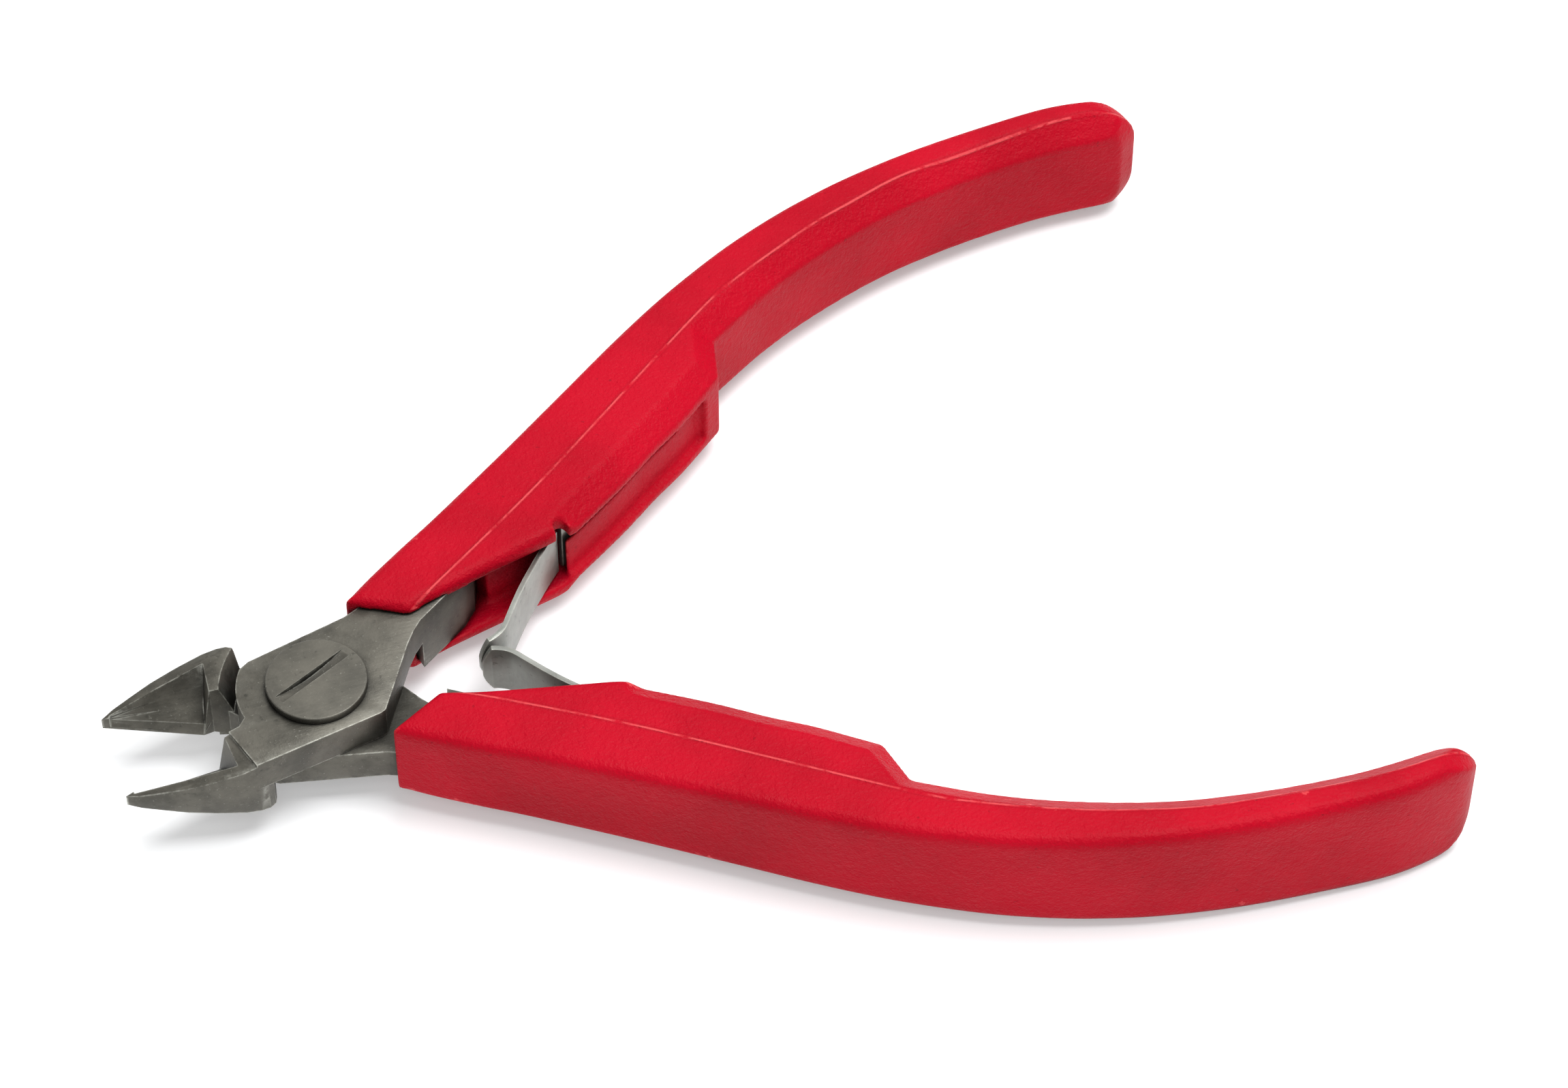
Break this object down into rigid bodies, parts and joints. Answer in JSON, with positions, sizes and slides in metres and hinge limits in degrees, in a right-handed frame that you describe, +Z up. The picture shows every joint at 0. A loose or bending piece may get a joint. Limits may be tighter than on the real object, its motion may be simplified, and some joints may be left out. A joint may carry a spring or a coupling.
{
  "type": "diagonal cutting pliers",
  "caption": "Precision diagonal cutting pliers with a screwed lap joint, hollow-ground flush jaws, leaf return springs and bowed moulded grips.",
  "frame": {"origin": "middle of the footprint of the open tool, on the surface that it lies on", "axes": "+X along the tool's centre line from the jaws towards the handles, +Y towards half A's handle, +Z up along the pivot screw's axis, towards its head"},
  "size_m": [0.1062, 0.0832, 0.0125],
  "materials": {
    "dark_steel": "dark satin tool steel",
    "red_grip": "semi-matt moulding",
    "spring_steel": "bright rolled strip"
  },
  "bodies": {
    "half_b": {"jaw_lever_b": "dark_steel", "grip_b": "red_grip", "leaf_anchor_b": "spring_steel", "pivot_screw": "dark_steel"},
    "half_a": {"jaw_lever_a": "dark_steel", "grip_a": "red_grip", "leaf_anchor_a": "spring_steel"},
    "spring_blade_a": {"leaf_blade_a": "spring_steel"},
    "spring_blade_b": {"leaf_blade_b": "spring_steel"}
  },
  "joints": [
    {"name": "pivot", "type": "hinge", "parent": "half_b", "child": "half_a", "pos_m": [-0.03545, 0, 0.00626], "axis": [0, 0, -1], "range_deg": [0, 26.7], "stiffness_Nm_per_rad": 0.5, "springref_deg": -2.86},
    {"name": "blade_a_bend", "type": "hinge", "parent": "half_a", "child": "spring_blade_a", "pos_m": [-0.01154, 0.01012, 0.00626], "axis": [0, 0, -1], "range_deg": [0, 17.5]},
    {"name": "blade_b_bend", "type": "hinge", "parent": "half_b", "child": "spring_blade_b", "pos_m": [-0.01154, -0.01012, 0.00626], "axis": [0, 0, 1], "range_deg": [0, 17.5]}
  ],
  "couplings": [
    {"joint": "blade_a_bend", "follows": "pivot", "ratio": 0.65},
    {"joint": "blade_b_bend", "follows": "pivot", "ratio": 0.65}
  ]
}
